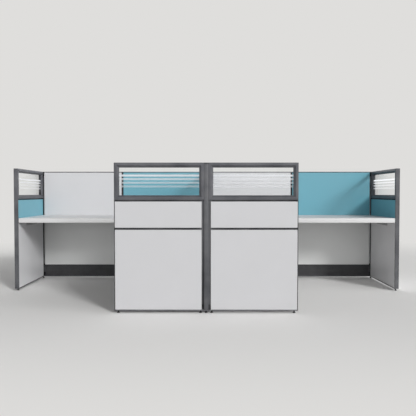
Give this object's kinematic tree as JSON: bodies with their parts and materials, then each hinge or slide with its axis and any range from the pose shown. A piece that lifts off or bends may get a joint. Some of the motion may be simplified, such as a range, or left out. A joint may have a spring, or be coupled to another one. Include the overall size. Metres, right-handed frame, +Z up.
{
  "type": "cubicle workstation",
  "caption": "Double office cubicle: panel walls with glazed tops, front screens, a spine between two L-shaped worktops, drop-down raceway covers and levelling feet.",
  "frame": {"origin": "on the floor, under the middle of the whole object", "axes": "+X along the back wall to the right seen from the front screens, +Y from the front screens to the back wall, +Z up"},
  "size_m": [3.8, 1.664, 1.21],
  "materials": {
    "frame_paint": "fine-textured grey powder coat",
    "trim_paint": "fine-textured grey powder coat",
    "window_paint": "grey powder-coated aluminium extrusion",
    "white_tile": "white laminated board",
    "teal_tile": "teal laminated board",
    "glass": "clear float glass",
    "frosted_film": "white frosted film",
    "seal_rubber": "matt black rubber",
    "raceway_plastic": "ribbed dark plastic",
    "tray_metal": "folded sheet, grey paint",
    "worktop_laminate": "white laminate on board",
    "bracket_paint": "light grey powder coat",
    "screw_steel": "zinc plated",
    "bolt_steel": "zinc plated",
    "socket_steel": "zinc plated",
    "foot_black": "black nylon foot"
  },
  "bodies": {
    "workstation": {"front_screen_frames": "frame_paint", "wing_frames": "frame_paint", "spine_frames": "frame_paint", "back_wall_frames": "frame_paint", "connector_posts": "trim_paint", "top_caps": "trim_paint", "end_covers_and_fillers": "trim_paint", "front_right_lower_tile": "white_tile", "front_right_upper_tile": "white_tile", "front_left_lower_tile": "white_tile", "front_left_upper_tile": "white_tile", "front_inner_lower_tiles": "white_tile", "front_inner_upper_tiles": "teal_tile", "right_wing_upper_tile": "teal_tile", "left_wing_upper_tile": "teal_tile", "wing_lower_tiles": "white_tile", "wing_outer_tiles": "white_tile", "spine_tiles": "white_tile", "back_inner_right_tile": "white_tile", "back_outer_right_tile": "teal_tile", "back_inner_left_tile": "teal_tile", "back_outer_left_tile": "white_tile", "back_lower_tiles": "white_tile", "back_rear_tiles": "white_tile", "front_right_window_frame": "window_paint", "front_left_window_frame": "window_paint", "wing_window_frames": "window_paint", "spine_window_frames": "window_paint", "front_right_glass": "glass", "front_left_glass": "glass", "wing_and_spine_glass": "glass", "glass_seals": "seal_rubber", "frosted_bands": "frosted_film", "raceway_trays": "tray_metal", "main_worktop_right": "worktop_laminate", "main_worktop_left": "worktop_laminate", "return_worktop_right": "worktop_laminate", "return_worktop_left": "worktop_laminate", "cantilever_brackets": "bracket_paint", "worktop_cleats_and_plates": "bracket_paint", "worktop_screws": "screw_steel", "frame_bolts": "bolt_steel", "foot_sockets": "socket_steel"},
    "raceway_cover_inner_right": {"raceway_cover_inner_right": "raceway_plastic"},
    "raceway_cover_inner_left": {"raceway_cover_inner_left": "raceway_plastic"},
    "raceway_cover_outer_right": {"raceway_cover_outer_right": "raceway_plastic"},
    "raceway_cover_outer_left": {"raceway_cover_outer_left": "raceway_plastic"},
    "front_right_inner_foot": {"front_right_inner_foot": "foot_black"},
    "front_left_inner_foot": {"front_left_inner_foot": "foot_black"},
    "front_right_outer_foot": {"front_right_outer_foot": "foot_black"},
    "front_left_outer_foot": {"front_left_outer_foot": "foot_black"},
    "right_wing_foot": {"right_wing_foot": "foot_black"},
    "left_wing_foot": {"left_wing_foot": "foot_black"},
    "back_right_seam_foot": {"back_right_seam_foot": "foot_black"},
    "back_left_seam_foot": {"back_left_seam_foot": "foot_black"},
    "back_right_corner_foot": {"back_right_corner_foot": "foot_black"},
    "back_left_corner_foot": {"back_left_corner_foot": "foot_black"},
    "front_centre_foot": {"front_centre_foot": "foot_black"},
    "spine_foot": {"spine_foot": "foot_black"},
    "back_centre_foot": {"back_centre_foot": "foot_black"}
  },
  "joints": [
    {"name": "front_right_inner_level", "type": "slide", "parent": "workstation", "child": "front_right_inner_foot", "axis": [0, 0, 1], "range_m": [-0.015, 0.006]},
    {"name": "front_left_inner_level", "type": "slide", "parent": "workstation", "child": "front_left_inner_foot", "axis": [0, 0, 1], "range_m": [-0.015, 0.006]},
    {"name": "front_right_outer_level", "type": "slide", "parent": "workstation", "child": "front_right_outer_foot", "axis": [0, 0, 1], "range_m": [-0.015, 0.006]},
    {"name": "front_left_outer_level", "type": "slide", "parent": "workstation", "child": "front_left_outer_foot", "axis": [0, 0, 1], "range_m": [-0.015, 0.006]},
    {"name": "right_wing_level", "type": "slide", "parent": "workstation", "child": "right_wing_foot", "axis": [0, 0, 1], "range_m": [-0.015, 0.006]},
    {"name": "left_wing_level", "type": "slide", "parent": "workstation", "child": "left_wing_foot", "axis": [0, 0, 1], "range_m": [-0.015, 0.006]},
    {"name": "back_right_seam_level", "type": "slide", "parent": "workstation", "child": "back_right_seam_foot", "axis": [0, 0, 1], "range_m": [-0.015, 0.006]},
    {"name": "back_left_seam_level", "type": "slide", "parent": "workstation", "child": "back_left_seam_foot", "axis": [0, 0, 1], "range_m": [-0.015, 0.006]},
    {"name": "back_right_corner_level", "type": "slide", "parent": "workstation", "child": "back_right_corner_foot", "axis": [0, 0, 1], "range_m": [-0.015, 0.006]},
    {"name": "back_left_corner_level", "type": "slide", "parent": "workstation", "child": "back_left_corner_foot", "axis": [0, 0, 1], "range_m": [-0.015, 0.006]},
    {"name": "front_centre_level", "type": "slide", "parent": "workstation", "child": "front_centre_foot", "axis": [0, 0, 1], "range_m": [-0.015, 0.006]},
    {"name": "spine_level", "type": "slide", "parent": "workstation", "child": "spine_foot", "axis": [0, 0, 1], "range_m": [-0.015, 0.006]},
    {"name": "back_centre_level", "type": "slide", "parent": "workstation", "child": "back_centre_foot", "axis": [0, 0, 1], "range_m": [-0.015, 0.006]},
    {"name": "raceway_cover_inner_right_hinge", "type": "hinge", "parent": "workstation", "child": "raceway_cover_inner_right", "pos_m": [0.48775, 0.793, 0.0325], "axis": [1, 0, 0], "range_deg": [0, 90]},
    {"name": "raceway_cover_inner_left_hinge", "type": "hinge", "parent": "workstation", "child": "raceway_cover_inner_left", "pos_m": [-0.48775, 0.793, 0.0325], "axis": [1, 0, 0], "range_deg": [0, 90]},
    {"name": "raceway_cover_outer_right_hinge", "type": "hinge", "parent": "workstation", "child": "raceway_cover_outer_right", "pos_m": [1.40825, 0.793, 0.0325], "axis": [1, 0, 0], "range_deg": [0, 90]},
    {"name": "raceway_cover_outer_left_hinge", "type": "hinge", "parent": "workstation", "child": "raceway_cover_outer_left", "pos_m": [-1.40825, 0.793, 0.0325], "axis": [1, 0, 0], "range_deg": [0, 90]}
  ]
}
